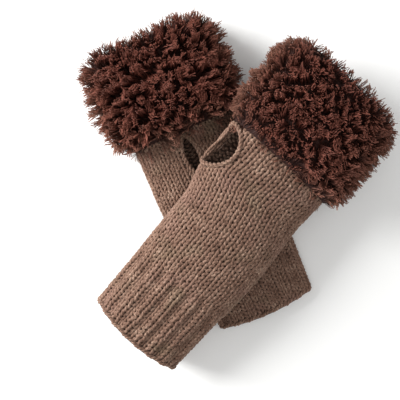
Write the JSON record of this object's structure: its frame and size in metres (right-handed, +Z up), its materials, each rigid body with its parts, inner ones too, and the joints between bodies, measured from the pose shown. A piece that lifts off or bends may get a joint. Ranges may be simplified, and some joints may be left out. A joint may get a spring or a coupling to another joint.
{
  "type": "fingerless gloves",
  "caption": "Pair of hand-knitted fingerless gloves with ribbed wrists, thumb openings and deep faux-fur finger cuffs, lying crossed.",
  "frame": {"origin": "middle of the pair's box, on the surface that the pair lies on", "axes": "+Z up from that surface; +Y towards the finger ends of both gloves; +X to the side that the left glove's fingers point to"},
  "size_m": [0.235, 0.2744, 0.0732],
  "materials": {
    "wool_yarn": "matte heathered worsted knit",
    "fur_yarn": "soft faux-fur pile with a slight sheen",
    "fur_ground": "matte knitted ground of the fur yarn"
  },
  "bodies": {
    "right_glove": {"right_cast_on_edge": "wool_yarn", "right_rib_cuff": "wool_yarn", "right_hand": "wool_yarn", "right_thumb_edge": "wool_yarn", "right_fur_join": "fur_ground", "right_fur_ground": "fur_ground", "right_fur_cast_off": "fur_ground", "right_fur_round_1": "fur_yarn", "right_fur_round_2": "fur_yarn", "right_fur_round_3": "fur_yarn", "right_fur_round_4": "fur_yarn", "right_fur_round_5": "fur_yarn", "right_fur_round_6": "fur_yarn", "right_cast_on_tail": "wool_yarn", "right_fur_tail": "fur_ground"},
    "left_glove": {"left_cast_on_edge": "wool_yarn", "left_rib_cuff": "wool_yarn", "left_hand": "wool_yarn", "left_thumb_edge": "wool_yarn", "left_fur_join": "fur_ground", "left_fur_ground": "fur_ground", "left_fur_cast_off": "fur_ground", "left_fur_round_1": "fur_yarn", "left_fur_round_2": "fur_yarn", "left_fur_round_3": "fur_yarn", "left_fur_round_4": "fur_yarn", "left_fur_round_5": "fur_yarn", "left_fur_round_6": "fur_yarn", "left_cast_on_tail": "wool_yarn", "left_fur_tail": "fur_ground"}
  },
  "joints": [
    {"name": "left_glove_lift", "type": "slide", "parent": "right_glove", "child": "left_glove", "axis": [0, 0, 1], "range_m": [0, 0.12]}
  ]
}
